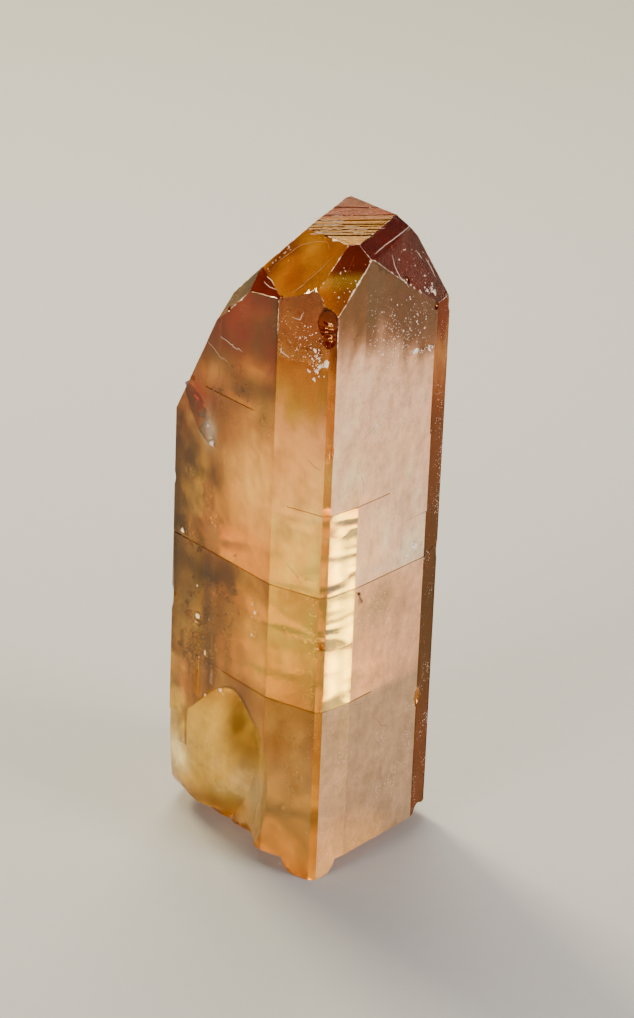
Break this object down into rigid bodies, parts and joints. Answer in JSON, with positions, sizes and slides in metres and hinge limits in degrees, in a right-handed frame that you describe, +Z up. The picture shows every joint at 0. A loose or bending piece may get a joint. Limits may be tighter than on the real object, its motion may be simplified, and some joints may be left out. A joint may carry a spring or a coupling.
{
  "type": "topaz crystal",
  "caption": "Loose upright prismatic gem crystal with a faceted pyramidal top, standing on its flat cleavage break.",
  "frame": {"origin": "under the middle of the prism, on the plane the crystal rests on", "axes": "+Z up along the crystal's long c axis, +X along its a axis, +Y along its b axis, towards the back"},
  "size_m": [0.0182, 0.02, 0.0452],
  "materials": {
    "imperial_topaz": "natural crystal faces, glassy with satin etched zones, golden orange"
  },
  "bodies": {
    "root": {"topaz_crystal": "imperial_topaz"}
  },
  "joints": []
}
